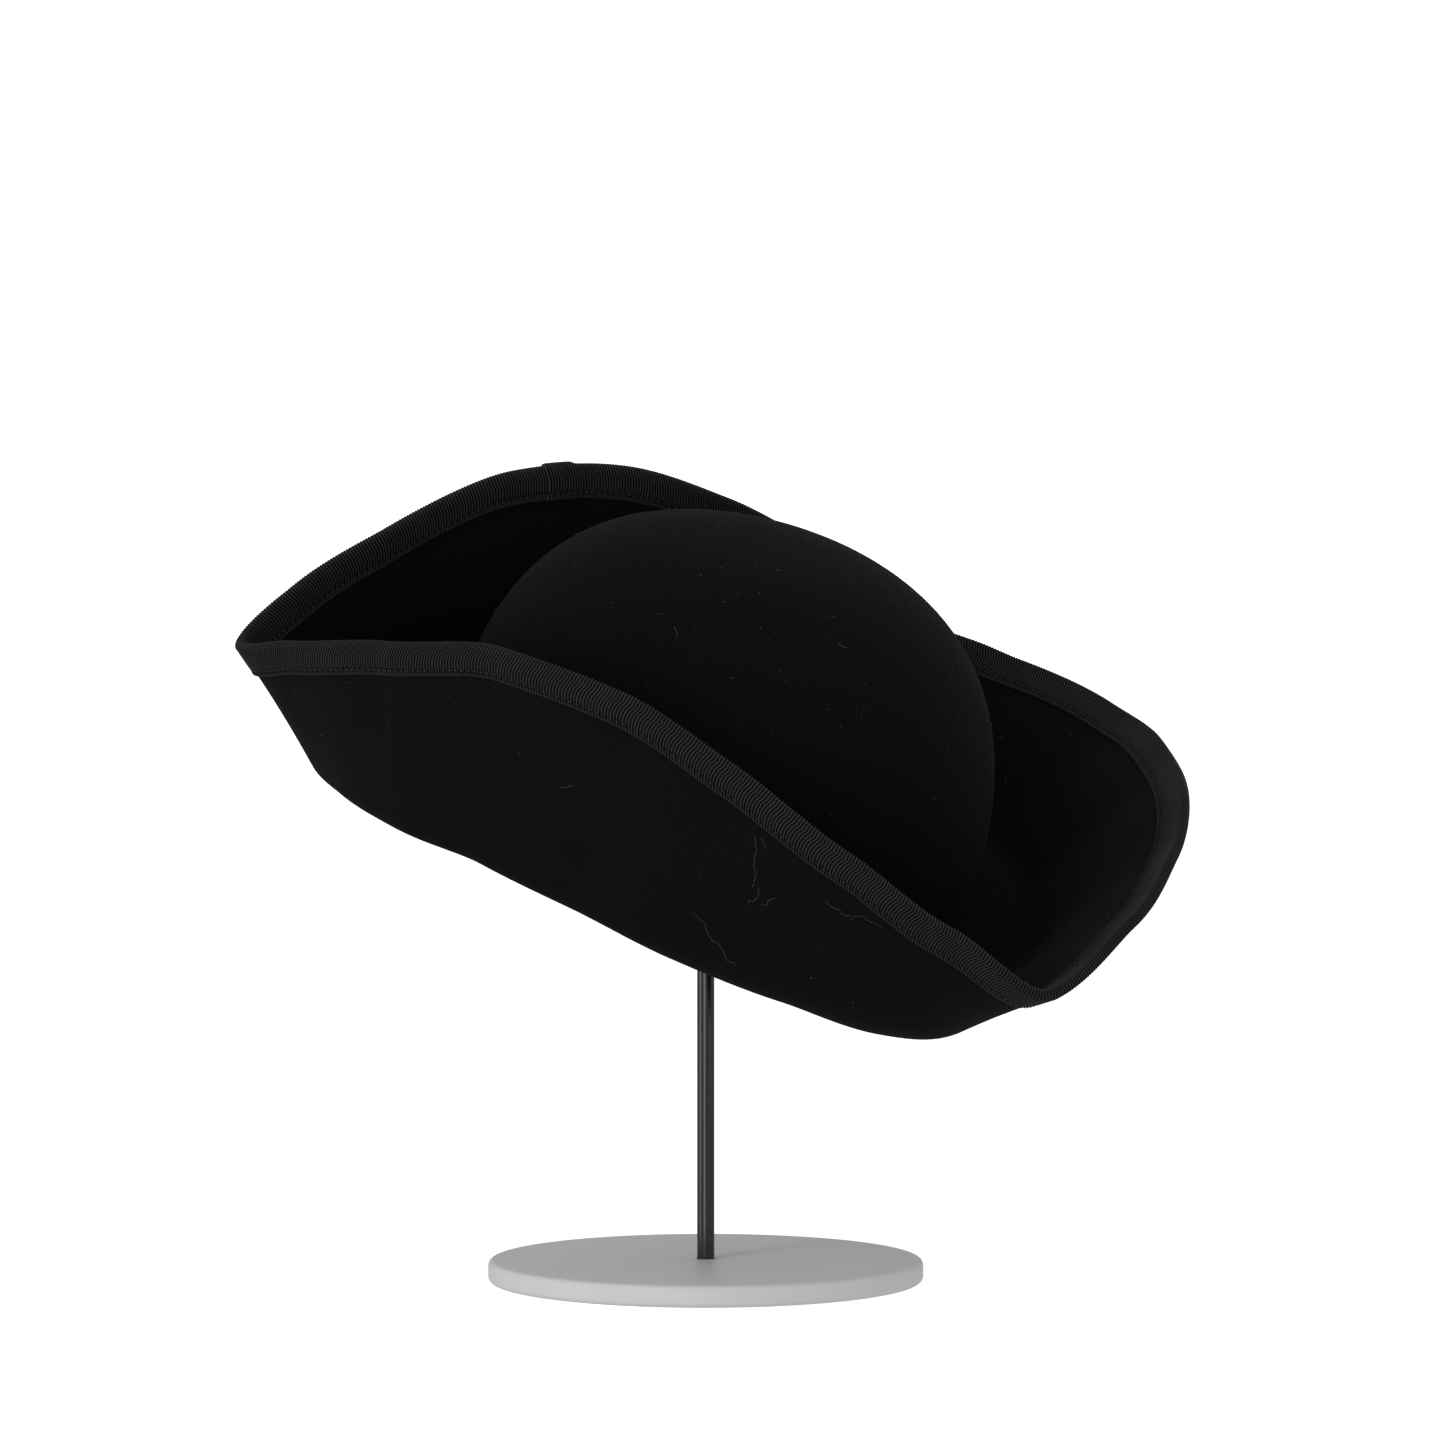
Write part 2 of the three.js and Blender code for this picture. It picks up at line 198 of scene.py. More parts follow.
def section_value(column, azimuth):
    """One column of the section tables at azimuths in degrees."""
    turned = azimuth + BACK_TURN * (1 - np.cos(np.radians(azimuth))) / 2
    around = (turned + 540) % 360 - 180
    differing = {row["at"]: row for row in RIGHT_SECTIONS}
    right = [differing.get(row["at"], row) for row in BRIM_SECTIONS]
    at = np.abs(around)
    return np.where(around < 0, row_value(right, column, at), row_value(BRIM_SECTIONS, column, at))


def waver(azimuth, seed):
    """A slow wave round the hat between about -1 and 1, as hand shaping leaves it."""
    turns = np.random.default_rng(seed)
    total = np.zeros_like(azimuth, float)
    for count, weight in ((2, 0.3), (3, 0.35), (5, 0.25), (8, 0.1)):
        total += weight * np.sin(np.radians(azimuth) * count + turns.uniform(0, 2 * math.pi))
    return total


def head_oval(azimuth):
    """The felt's middle line on the head oval, and the level direction straight out from it."""
    t = np.radians(azimuth)
    long, broad = (HEAD_LENGTH + FELT) / 2, (HEAD_BREADTH + FELT) / 2
    point = np.stack([broad * np.sin(t), -long * np.cos(t), np.full_like(t, FELT / 2)], -1)
    out = np.stack([long * np.sin(t), -broad * np.cos(t), np.zeros_like(t)], -1)
    return point, out / np.linalg.norm(out, axis=-1, keepdims=True)


def crown_points(azimuth, turn):
    """The crown's middle surface. turn is 90 degrees at the top and 0 at the head oval."""
    point, out = head_oval(azimuth)
    narrowing = np.clip(np.cos(np.radians(turn)), 0, None) ** (2 / CROWN_FULLNESS)
    rise = np.sin(np.radians(turn)) ** (2 / CROWN_FULLNESS)
    shaped = CROWN_WAVER * waver(azimuth, CROWN_SEED) * np.sin(np.radians(2 * turn))
    place = point * np.stack([narrowing, narrowing, np.ones_like(turn)], -1) + out * shaped[..., None]
    place[..., 1] -= CROWN_FORWARD * rise**CROWN_FORWARD_POWER
    place[..., 2] += (CROWN_HEIGHT - FELT) * rise
    return place


def brim_fall(azimuth):
    """Slope of the brim before its bend, in degrees."""
    return -(FALL_ENDS + (FALL_SIDES - FALL_ENDS) * np.sin(np.radians(azimuth)) ** 2)


def brim_slope(azimuth, along):
    """Slope of the brim in degrees at a distance along the felt."""
    fall = brim_fall(azimuth)
    rise = section_value("rise", azimuth) + WAVER_RISE * waver(azimuth, BRIM_SEED)
    turn = section_value("turn", azimuth) * BRIM_WIDTH
    bend = section_value("bend", azimuth) * BRIM_WIDTH
    roll = EDGE_ROLL * np.clip(along - turn, 0, None) / BRIM_WIDTH
    return fall + (rise - fall) * smooth((along - turn) / bend) - roll


def brim_points(azimuth, along):
    """The brim's middle surface at azimuths, each with its own distances along the felt."""
    step = BRIM_WIDTH / LINE_STEPS
    middles = (np.arange(LINE_STEPS) + 0.5) * step
    slope = np.radians(brim_slope(azimuth[:, None], middles[None, :]))
    nothing = np.zeros((len(azimuth), 1))
    outs = np.concatenate([nothing, np.cumsum(step * np.cos(slope), 1)], 1)
    ups = np.concatenate([nothing, np.cumsum(step * np.sin(slope), 1)], 1)
    place = np.clip(along / step, 0, LINE_STEPS - 1e-6)
    i = place.astype(int)
    share = place - i
    rows = np.arange(len(azimuth))[:, None]
    out = outs[rows, i] * (1 - share) + outs[rows, i + 1] * share
    up = ups[rows, i] * (1 - share) + ups[rows, i + 1] * share
    point, outward = head_oval(azimuth)
    result = point[:, None, :] + outward[:, None, :] * out[..., None]
    result[..., 2] += up
    return result


def break_points(azimuth):
    """The rounded fold between crown and brim, and how far it reaches up the crown and along the brim."""
    turned = np.radians(90 + brim_fall(azimuth))
    reach = BREAK_RADIUS * np.tan(turned / 2)
    point, outward = head_oval(azimuth)
    angle = turned[:, None] * np.linspace(0, 1, BREAK_RINGS + 1)[None, :]
    result = point[:, None, :] + outward[:, None, :] * (BREAK_RADIUS * (1 - np.cos(angle)))[..., None]
    result[..., 2] = point[:, None, 2] + reach[:, None] - BREAK_RADIUS * np.sin(angle)
    return reach, result


def ring_places(azimuth, start, end, count):
    """Distances along the brim for the rings of one station, closer together in the bend."""
    steps = np.linspace(start, end, RING_SAMPLES)
    along = steps.T
    slope = brim_slope(azimuth[:, None], along)
    bent = np.abs(np.diff(slope, axis=1))
    measure = np.diff(along, axis=1) / BRIM_WIDTH + BEND_CROWDING * bent
    total = np.concatenate([np.zeros((len(azimuth), 1)), np.cumsum(measure, 1)], 1)
    share = np.linspace(0, 1, count + 1)
    return np.array([np.interp(share * total[j, -1], total[j], along[j]) for j in range(len(azimuth))])


def felt_middle(azimuth):
    """The felt's middle surface: a grid with a row for each station, from the crown's top to the edge."""
    reach, fold = break_points(azimuth)
    lowest = np.degrees(np.arcsin((reach / (CROWN_HEIGHT - FELT)) ** (CROWN_FULLNESS / 2)))
    shares = np.arange(1, CROWN_RINGS) / CROWN_RINGS
    turn = 90 + (lowest[:, None] - 90) * shares[None, :]
    crown = crown_points(np.repeat(azimuth[:, None], len(shares), 1), turn)
    along = ring_places(azimuth, reach, np.full_like(reach, BRIM_WIDTH), BRIM_RINGS)[:, 1:]
    return np.concatenate([crown, fold, brim_points(azimuth, along)], 1)


def grid_normals(grid, before):
    """Normals of a grid that closes round the hat, toward the crown's outside and the brim's upper face.
    before is the crown's top, which comes ahead of every row."""
    around = np.roll(grid, -1, 0) - np.roll(grid, 1, 0)
    first = np.broadcast_to(before, grid[:, :1].shape)
    padded = np.concatenate([first, grid, grid[:, -1:]], 1)
    down = padded[:, 2:] - padded[:, :-2]
    normal = -np.cross(around, down)
    return normal / np.linalg.norm(normal, axis=-1, keepdims=True)


def place_hat(points):
    """From the hat's own frame to the frame of the part."""
    turn, lean = math.radians(LEAN_TOWARD), math.radians(LEAN)

    def about_z(angle):
        across, along = math.cos(angle), math.sin(angle)
        return np.array([[across, -along, 0], [along, across, 0], [0, 0, 1]])

    upright, level = math.cos(lean), math.sin(lean)
    about_y = np.array([[upright, 0, level], [0, 1, 0], [-level, 0, upright]])
    turned = about_z(turn) @ about_y @ about_z(-turn)
    return points @ turned.T + np.array(HAT_CENTRE)


def add_mesh(name, points, faces, material, soft=True):
    mesh = bpy.data.meshes.new(name)
    mesh.from_pydata([tuple(p) for p in points], [], faces)
    mesh.validate()
    if soft:
        mesh.polygons.foreach_set("use_smooth", [True] * len(mesh.polygons))
    mesh.materials.append(material)
    piece = bpy.data.objects.new(name, mesh)
    bpy.context.scene.collection.objects.link(piece)
    return piece


def swept_faces(stations, count, closed):
    """Faces of a grid that closes round the hat. Where closed is set, its other way closes too."""
    faces = []
    for j in range(stations):
        a, b = j * count, (j + 1) % stations * count
        for k in range(count if closed else count - 1):
            n = (k + 1) % count
            faces.append((a + k, a + n, b + n, b + k))
    return faces


# Materials


class Nodes:
    """A short way to build one material's nodes."""

    def __init__(self, name):
        self.material = bpy.data.materials.new(name)
        self.material.use_nodes = True
        self.tree = self.material.node_tree
        self.shader = self.tree.nodes["Principled BSDF"]
        self.coordinates = self.add("ShaderNodeTexCoord").outputs["Object"]

    def add(self, kind, **settings):
        node = self.tree.nodes.new(kind)
        for key, value in settings.items():
            setattr(node, key, value)
        return node

    def link(self, output, target):
        self.tree.links.new(output, target)

    def noise(self, scale, detail=4.0, roughness=0.5, distortion=0.0, stretch=None):
        node = self.add("ShaderNodeTexNoise")
        node.inputs["Scale"].default_value = scale
        node.inputs["Detail"].default_value = detail
        node.inputs["Roughness"].default_value = roughness
        node.inputs["Distortion"].default_value = distortion
        source = self.coordinates
        if stretch:
            mapping = self.add("ShaderNodeMapping")
            mapping.inputs["Scale"].default_value = stretch
            self.link(source, mapping.inputs["Vector"])
            source = mapping.outputs["Vector"]
        self.link(source, node.inputs["Vector"])
        return node.outputs["Fac"]

    def ramp(self, value, stops):
        node = self.add("ShaderNodeValToRGB")
        elements = node.color_ramp.elements
        while len(elements) < len(stops):
            elements.new(0.5)
        for element, (position, colour) in zip(elements, stops):
            element.position = position
            element.color = (*colour, 1)
        self.link(value, node.inputs["Fac"])
        return node.outputs["Color"]

    def mix(self, factor, first, second):
        node = self.add("ShaderNodeMix", data_type="RGBA")
        colours = [s for s in node.inputs if s.type == "RGBA"]
        self.link(factor, node.inputs["Factor"])
        for value, socket in zip((first, second), colours):
            if isinstance(value, tuple):
                socket.default_value = (*value, 1)
            else:
                self.link(value, socket)
        return [s for s in node.outputs if s.type == "RGBA"][0]

    def level(self, value, low, high):
        node = self.add("ShaderNodeMapRange")
        node.inputs["To Min"].default_value = low
        node.inputs["To Max"].default_value = high
        self.link(value, node.inputs["Value"])
        return node.outputs["Result"]

    def bump(self, height, distance, strength, under=None):
        node = self.add("ShaderNodeBump")
        node.inputs["Distance"].default_value = distance
        node.inputs["Strength"].default_value = strength
        self.link(height, node.inputs["Height"])
        if under:
            self.link(under, node.inputs["Normal"])
        return node.outputs["Normal"]


def felt_material():
    """Black wool felt: matt, short matted fibres, a faint nap."""
    m = Nodes("felt_black")
    patches = m.noise(24, detail=3)
    fibres = m.noise(950, detail=5, roughness=0.62, distortion=1.2)
    fine = m.noise(2600, detail=3, roughness=0.6)
    tone = m.ramp(patches, [(0.3, (0.0030, 0.0034, 0.0034)), (0.7, (0.0044, 0.0048, 0.0048))])
    m.link(m.mix(m.level(fibres, 0.0, 0.75), tone, (0.0060, 0.0064, 0.0064)), m.shader.inputs["Base Color"])
    m.link(m.level(patches, 0.86, 0.97), m.shader.inputs["Roughness"])
    low = m.bump(m.noise(110, detail=4, roughness=0.55), 0.0008, 0.35)
    mid = m.bump(fibres, 0.0005, 0.55, low)
    m.link(m.bump(fine, 0.0003, 0.4, mid), m.shader.inputs["Normal"])
    m.shader.inputs["Specular IOR Level"].default_value = 0.07
    m.shader.inputs["Sheen Weight"].default_value = 0.03
    m.shader.inputs["Sheen Roughness"].default_value = 0.45
    m.shader.inputs["Sheen Tint"].default_value = (0.62, 0.66, 0.68, 1)
    return m.material


def ribbon_material():
    """Black ribbed ribbon: slightly glossy ribs, with a painted highlight on their crests and painted shade
    in the grooves between them.
    """
    m = Nodes("ribbon_black")
    patches = m.noise(40, detail=3)
    threads = m.noise(3200, detail=3, roughness=0.6)
    # This attribute holds painted light: 1 for the painted highlight on a rib's crest, 0 for painted shade in
    # the grooves, along the seam and in the needle holes.
    rib_painted_light = m.add("ShaderNodeAttribute", attribute_name="rib_painted_light").outputs["Fac"]
    crest = m.ramp(patches, [(0.3, (0.048, 0.050, 0.049)), (0.7, (0.064, 0.067, 0.066))])
    speckled = m.mix(m.level(threads, 0.0, 0.5), crest, (0.084, 0.088, 0.087))
    # Mixes from the near-black painted shade of the grooves to the lit colour of the crests.
    m.link(m.mix(rib_painted_light, (0.0006, 0.0008, 0.0008), speckled), m.shader.inputs["Base Color"])
    m.link(m.level(threads, 0.42, 0.6), m.shader.inputs["Roughness"])
    m.link(m.bump(threads, 0.00012, 0.5), m.shader.inputs["Normal"])
    m.shader.inputs["Specular IOR Level"].default_value = 0.06
    m.shader.inputs["Sheen Weight"].default_value = 0.02
    m.shader.inputs["Sheen Roughness"].default_value = 0.4
    m.shader.inputs["Sheen Tint"].default_value = (0.75, 0.78, 0.78, 1)
    return m.material


def thread_material():
    """Black sewing thread, twisted and slightly glossy."""
    m = Nodes("thread_black")
    twist = m.noise(5200, detail=2)
    tone = m.mix(m.level(twist, 0.0, 0.8), (0.012, 0.012, 0.013), (0.034, 0.035, 0.035))
    m.link(tone, m.shader.inputs["Base Color"])
    m.link(m.bump(twist, 0.0001, 0.5), m.shader.inputs["Normal"])
    m.shader.inputs["Roughness"].default_value = 0.48
    return m.material


def lint_material():
    """Pale dust and stray wool fibres."""
    m = Nodes("lint_grey")
    m.link(m.mix(m.noise(900), (0.09, 0.09, 0.095), (0.22, 0.22, 0.23)), m.shader.inputs["Base Color"])
    m.shader.inputs["Roughness"].default_value = 0.9
    return m.material


def paint_material():
    """Off-white satin paint on the stand's base."""
    m = Nodes("paint_offwhite")
    peel = m.noise(900, detail=2)
    m.link(m.mix(m.noise(18), (0.80, 0.80, 0.79), (0.86, 0.86, 0.85)), m.shader.inputs["Base Color"])
    m.link(m.level(m.noise(45, detail=5), 0.38, 0.5), m.shader.inputs["Roughness"])
    m.link(m.bump(peel, 0.0001, 0.25), m.shader.inputs["Normal"])
    return m.material


def rod_material():
    """Dark grey satin metal, drawn along its length."""
    m = Nodes("rod_dark_metal")
    drawn = m.noise(900, detail=4, stretch=(1, 1, 0.02))
    m.link(m.mix(drawn, (0.048, 0.048, 0.049), (0.074, 0.074, 0.076)), m.shader.inputs["Base Color"])
    m.link(m.level(drawn, 0.13, 0.22), m.shader.inputs["Roughness"])
    m.link(m.bump(drawn, 0.00005, 0.2), m.shader.inputs["Normal"])
    m.shader.inputs["Metallic"].default_value = 0.9
    return m.material


def rest_material():
    """Off-white matt plastic of the rest inside the crown."""
    m = Nodes("rest_plastic")
    grain = m.noise(1600, detail=3)
    m.link(m.mix(m.noise(30), (0.78, 0.78, 0.77), (0.84, 0.84, 0.83)), m.shader.inputs["Base Color"])
    m.link(m.level(grain, 0.5, 0.62), m.shader.inputs["Roughness"])
    m.link(m.bump(grain, 0.0001, 0.3), m.shader.inputs["Normal"])
    return m.material


# Hat


def felt_piece():
    """The crown and brim: one shell of felt with the two faces half a thickness from its middle."""
    even = np.degrees(2 * math.pi * np.arange(STATIONS) / STATIONS)
    azimuth = even - np.degrees(CORNER_CROWDING * np.sin(np.radians(3 * even)) / 3)
    middle = felt_middle(azimuth)
    top = crown_points(np.array([0.0]), np.array([90.0]))[0]
    normals = grid_normals(middle, top)
    outer = middle + normals * FELT / 2
    inner = middle - normals * FELT / 2
    outward = middle[:, -1] - middle[:, -2]
    edge = middle[:, -1] + outward / np.linalg.norm(outward, axis=-1, keepdims=True) * EDGE_ROUNDING
    grid = np.concatenate([outer, edge[:, None], inner[:, ::-1]], 1)
    count = grid.shape[1]
    points = [*grid.reshape(-1, 3), top + (0, 0, FELT / 2), top - (0, 0, FELT / 2)]
    faces = swept_faces(STATIONS, count, closed=False)
    first, last = STATIONS * count, STATIONS * count + 1
    for j in range(STATIONS):
        n = (j + 1) % STATIONS
        faces.append((first, j * count, n * count))
        faces.append((last, n * count + count - 1, j * count + count - 1))
    return add_mesh("hat_felt", place_hat(np.array(points)), faces, felt_material())


def brim_frame(azimuth, along):
    """Points of the brim's middle surface, with their normals and the outward direction."""
    here = brim_points(azimuth, along)
    around = brim_points(azimuth + FRAME_TURN, along) - brim_points(azimuth - FRAME_TURN, along)
    around /= np.linalg.norm(around, axis=-1, keepdims=True)
    outward = brim_points(azimuth, np.clip(along + FRAME_STEP, 0, BRIM_WIDTH))
    outward -= brim_points(azimuth, np.clip(along - FRAME_STEP, 0, BRIM_WIDTH))
    outward /= np.linalg.norm(outward, axis=-1, keepdims=True)
    normal = -np.cross(around, outward)
    normal /= np.linalg.norm(normal, axis=-1, keepdims=True)
    return here, normal, outward


class Ribbon:
    """The ribbon folded over the brim's edge. A place on it is a length round the edge, a share of its width
    from its inner edge (0) to the fold (1), and a face: 1 is the brim's upper face and -1 the under one."""

    def __init__(self):
        self.azimuths = np.linspace(-180, 180, EDGE_PLACES)
        edge = brim_points(self.azimuths, np.full((len(self.azimuths), 1), BRIM_WIDTH))[:, 0]
        steps = np.linalg.norm(np.diff(edge, axis=0), axis=1)
        self.lengths = np.concatenate([[0], np.cumsum(steps)])
        self.whole = self.lengths[-1]
        self.ribs = round(self.whole / RIB_PITCH)
        self.stitches = round(self.whole / STITCH_PITCH)
        self.start = BRIM_WIDTH + CLEARANCE + RIBBON - BINDING_WIDTH

    def azimuth(self, length):
        return np.interp(length % self.whole, self.lengths, self.azimuths)

    def crest(self, length):
        """1 on a rib and 0 in a groove."""
        return 0.5 + 0.5 * np.cos(2 * math.pi * length * self.ribs / self.whole)

    def seam(self, length, share):
        """1 on the row of stitches, where the ribbon is drawn in, and 0 away from it."""
        wander = SEAM_WANDER * waver(360 * length / self.whole * 3, SEAM_SEED)
        return np.exp(-(((share * BINDING_WIDTH - SEAM - wander) / SEAM_WIDTH) ** 2))

    def pull(self, length):
        """1 where a stitch goes through the ribbon and 0 halfway between two."""
        return 0.5 + 0.5 * np.cos(2 * math.pi * length * self.stitches / self.whole)

    def painted_light(self, length, share):
        """Painted light on the ribbon: a painted highlight on the crests, and painted shade in the grooves,
        along the row of stitches and deepest in the needle holes.
        """
        if share < SELVEDGE_SHARE:
            # The outermost thread is never as dark as a groove, and has a weaker painted highlight on its
            # crests.
            return 0.2 + 0.35 * self.crest(length)
        # Painted shade along the drawn-in row of stitches, deepest at the needle holes.
        seam_shade = self.seam(length, share) * (0.45 + 0.55 * self.pull(length))
        return self.crest(length) ** CREST_SHARPNESS * (1 - seam_shade)

    def lap(self, length):
        end = np.interp(LAP_AT, self.azimuths, self.lengths)
        past = (end - length) % self.whole
        return LAP_STEP * np.where(past < LAP_LENGTH, 1 - smooth(past / LAP_LENGTH * 4 - 3), 0)

    def height(self, length, share):
        """Height of the ribbon's outer surface above the felt's middle surface."""
        height = FELT / 2 + CLEARANCE + RIBBON - RIB_DEPTH * (1 - self.crest(length)) + self.lap(length)
        height = height - SEAM_DEPTH * self.seam(length, share) * (0.4 + 0.6 * self.pull(length))
        if share < INNER_EDGE_SHARE:
            return height - INNER_EDGE_DROP
        return height + SELVEDGE * (share < SELVEDGE_SHARE)

    def bow(self, length, share):
        """How far round the edge a rib has moved from its own place: the ribs are slightly curved."""
        even = RIB_BOW * (share - RIB_BACK) ** 2 / (1 - RIB_BACK) ** 2
        return even * (1 + BOW_VARIATION * waver(360 * length / self.whole, BOW_SEED))

    def place(self, length, share, face, height):
        """Points at a height above the felt's middle surface."""
        azimuth = self.azimuth(length + self.bow(length, share))
        inner = self.start + INNER_EDGE_WANDER * waver(360 * length / self.whole, INNER_EDGE_SEED)
        along = inner + (BRIM_WIDTH - inner) * share
        here, normal, _ = brim_frame(azimuth, along[:, None])
        return here[:, 0] + face * normal[:, 0] * np.broadcast_to(height, length.shape)[:, None]

    def fold(self, length, angle):
        """Points of the fold round the felt's edge. angle is 0 at the edge and 90 on the upper face."""
        azimuth = self.azimuth(length + self.bow(length, 1.0))
        here, normal, outward = brim_frame(azimuth, np.full((len(length), 1), BRIM_WIDTH))
        height = self.height(length, 1.0)
        beyond = (height - FELT / 2) * math.cos(math.radians(angle))
        aside = height * math.sin(math.radians(angle))
        return here[:, 0] + outward[:, 0] * beyond[:, None] + normal[:, 0] * aside[:, None]


def binding_piece(ribbon):
    """The ribbed ribbon folded over the edge, with painted light for its ribs kept on its points."""
    stations = ribbon.ribs * RIB_STATIONS
    length = ribbon.whole * np.arange(stations) / stations
    grid, painted_light = [], []
    for face, shares in ((1, FACE_SHARES), (-1, FACE_SHARES[::-1])):
        for share in shares:
            grid.append(ribbon.place(length, share, face, ribbon.height(length, share)))
            painted_light.append(ribbon.painted_light(length, share))
        if face == 1:
            for angle in FOLD_ANGLES:
                grid.append(ribbon.fold(length, angle))
                painted_light.append(ribbon.painted_light(length, 1.0))
    # The faces that lie against the felt get the grooves' painted shade.
    for share, face in ((0.0, -1), (1.0, -1), (1.0, 1), (0.0, 1)):
        grid.append(ribbon.place(length, share, face, FELT / 2 + CLEARANCE))
        painted_light.append(np.zeros(stations))
    points = np.stack(grid, 1)
    faces = swept_faces(stations, points.shape[1], closed=True)
    piece = add_mesh("hat_binding", place_hat(points.reshape(-1, 3)), faces, ribbon_material())
    # Stores the painted highlights and painted shade of the ribs for the ribbon material.
    rib_painted_light = piece.data.attributes.new("rib_painted_light", "FLOAT", "POINT")
    rib_painted_light.data.foreach_set("value", np.stack(painted_light, 1).reshape(-1).astype(np.float32))
    return piece


def tube(path, radius, sides, up):
    """Points and faces of a round thread along a path, with thin ends. up is square to the path."""
    count = len(path)
    ahead = np.gradient(path, axis=0)
    ahead /= np.linalg.norm(ahead, axis=1, keepdims=True)
    across = np.cross(ahead, up)
    across /= np.linalg.norm(across, axis=1, keepdims=True)
    above = np.cross(across, ahead)
    thick = radius * np.sqrt(np.clip(1 - np.linspace(-1, 1, count) ** 8, 0.02, 1))
    angles = 2 * math.pi * np.arange(sides) / sides
    rings = path[:, None] + thick[:, None, None] * (
        across[:, None] * np.cos(angles)[None, :, None] + above[:, None] * np.sin(angles)[None, :, None]
    )
    faces = []
    for i in range(count - 1):
        for k in range(sides):
            n = (k + 1) % sides
            faces.append((i * sides + k, i * sides + n, (i + 1) * sides + n, (i + 1) * sides + k))
    faces.append(tuple(reversed(range(sides))))
    faces.append(tuple((count - 1) * sides + k for k in range(sides)))
    return rings.reshape(-1, 3), faces


def joined(name, parts, material):
    """One piece from a list of points and faces."""
    points, faces, base = [], [], 0
    for part_points, part_faces in parts:
        points.append(part_points)
        faces += [tuple(base + v for v in face) for face in part_faces]
        base += len(part_points)
    return add_mesh(name, np.concatenate(points), faces, material)


def stitch_piece(ribbon):
    """The short stitches that hold the ribbon, on both of its faces."""
    count = ribbon.stitches
    steps = np.linspace(-0.5, 0.5, STITCH_PLACES)
    middles = ribbon.whole * (np.arange(count) + 0.5) / count
    length = (middles[:, None] + steps[None, :] * STITCH_LENGTH).reshape(-1)
    arch = np.tile(THREAD * (0.45 - 1.6 * steps**2), count)
    share = SEAM / BINDING_WIDTH
    parts = []
    for face in (1, -1):
        base = FELT / 2 + CLEARANCE + RIBBON - RIB_DEPTH * 0.4 - SEAM_DEPTH * 0.6 + ribbon.lap(length)
        points = place_hat(ribbon.place(length, share, face, base + arch))
        above = place_hat(ribbon.place(length, share, face, base + arch + MM)) - points
        for i in range(count):
            rows = slice(i * len(steps), (i + 1) * len(steps))
            parts.append(tube(points[rows], THREAD / 2, THREAD_SIDES, above[rows]))
    return joined("binding_stitches", parts, thread_material())


# Stray fibres that lie on the felt. face: crown, upper or under. at: azimuth in degrees.
# place: millimetres along the brim, or degrees up the crown.
# heading: degrees from the way round toward the edge or the crown's top. length: millimetres.
# bend: degrees that it turns over its length. swing: degrees that it waves to each side.
STRAY_FIBRES = [
    {"face": "under", "at": 84, "place": 41, "heading": -28, "length": 25, "bend": 12, "swing": 50},
    {"face": "under", "at": 89.5, "place": 85.5, "heading": -72, "length": 21, "bend": -4, "swing": 30},
    {"face": "under", "at": 90.5, "place": 86, "heading": 10, "length": 5, "bend": -170, "swing": 30},
    {"face": "under", "at": 95.5, "place": 69, "heading": 190, "length": 9, "bend": 100, "swing": 70},
    {"face": "under", "at": 93, "place": 68, "heading": -130, "length": 12, "bend": 60, "swing": 80},
    {"face": "under", "at": 102, "place": 81, "heading": -30, "length": 12, "bend": 85, "swing": 40},
    {"face": "under", "at": 106, "place": 80.5, "heading": 60, "length": 16, "bend": -75, "swing": 30},
    {"face": "under", "at": 54, "place": 55, "heading": 10, "length": 7, "bend": 40, "swing": 20},
    {"face": "upper", "at": -147, "place": 54, "heading": 30, "length": 5, "bend": 60, "swing": 20},
    {"face": "crown", "at": 62, "place": 52, "heading": 80, "length": 6, "bend": 90, "swing": 20},
    {"face": "crown", "at": 118, "place": 60, "heading": 160, "length": 5, "bend": -80, "swing": 30},
    {"face": "under", "at": -70, "place": 60, "heading": 20, "length": 12, "bend": 60, "swing": 45},
    {"face": "under", "at": 172, "place": 66, "heading": 200, "length": 9, "bend": -50, "swing": 35},
]
SPECKS = 420
FIBRE_STEP = 0.9 * MM
TRIAL_MOVE = 0.5  # degrees or millimetres, to find how far a fibre gets by them on the felt
LEAST_MOVE = 0.01 * MM  # keeps a step from growing without end near the crown's top
FIBRE_RADIUS = 0.05 * MM
FIBRE_LIFT = 0.4 * MM  # how far a fibre's middle stands off the felt
SPECK_RADII = (0.03, 0.08)  # thinnest and thickest, in millimetres
SPECK_LIFT = 0.1 * MM
CROWN_LINT = (12, 86)  # degrees up the crown between which fibres lie
BRIM_LINT = (25, 90)  # millimetres along the brim between which they lie


def felt_point(face, azimuth, place):
    """A point of the felt's visible face and its normal."""
    if face == "crown":
        small = 0.4
        azimuths = np.array([azimuth, azimuth, azimuth - small, azimuth + small])
        turns = np.array([place, place + small, place, place])
        here, higher, before, after = crown_points(azimuths, turns)
        normal = np.cross(after - before, higher - here)
        normal /= np.linalg.norm(normal)
        return here + normal * FELT / 2, normal
    here, normal, _ = brim_frame(np.array([azimuth]), np.array([[place * MM]]))
    side = 1 if face == "upper" else -1
    return here[0, 0] + side * normal[0, 0] * FELT / 2, side * normal[0, 0]


